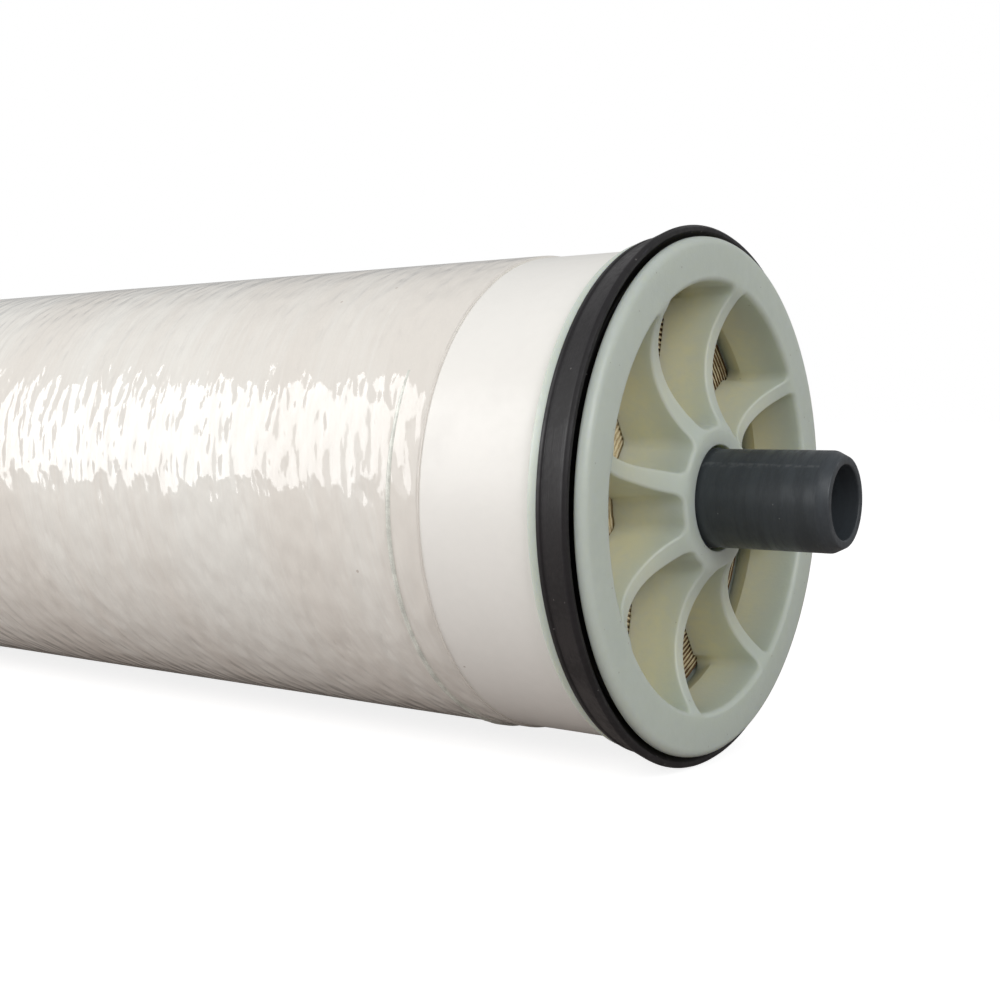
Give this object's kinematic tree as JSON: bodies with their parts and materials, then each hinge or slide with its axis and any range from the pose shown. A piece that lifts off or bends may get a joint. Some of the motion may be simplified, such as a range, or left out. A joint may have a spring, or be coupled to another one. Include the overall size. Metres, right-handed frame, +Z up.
{
  "type": "reverse osmosis membrane element",
  "caption": "Long white cylindrical filter element with spoked end caps, a black rubber seal ring round one end and a dark centre tube that stands out at both ends.",
  "frame": {"origin": "middle of the element on the axis of the permeate tube, which is the centre of its bounding box", "axes": "+X along the axis towards the feed end that carries the brine seal, +Z up as the element lies"},
  "size_m": [1.016, 0.1046, 0.1046],
  "materials": {
    "tube_plastic": "satin dark grey",
    "leaves": "matt tan layers",
    "cap_plastic": "satin pale grey-green",
    "tape": "satin white",
    "glass_resin": "glossy off-white resin",
    "seal_rubber": "satin black"
  },
  "bodies": {
    "root": {"permeate_tube": "tube_plastic", "membrane_roll": "leaves", "feed_end_cap": "cap_plastic", "concentrate_end_cap": "cap_plastic", "feed_tape_wrap": "tape", "concentrate_tape_wrap": "tape", "fibreglass_shell": "glass_resin", "brine_seal": "seal_rubber"}
  },
  "joints": []
}
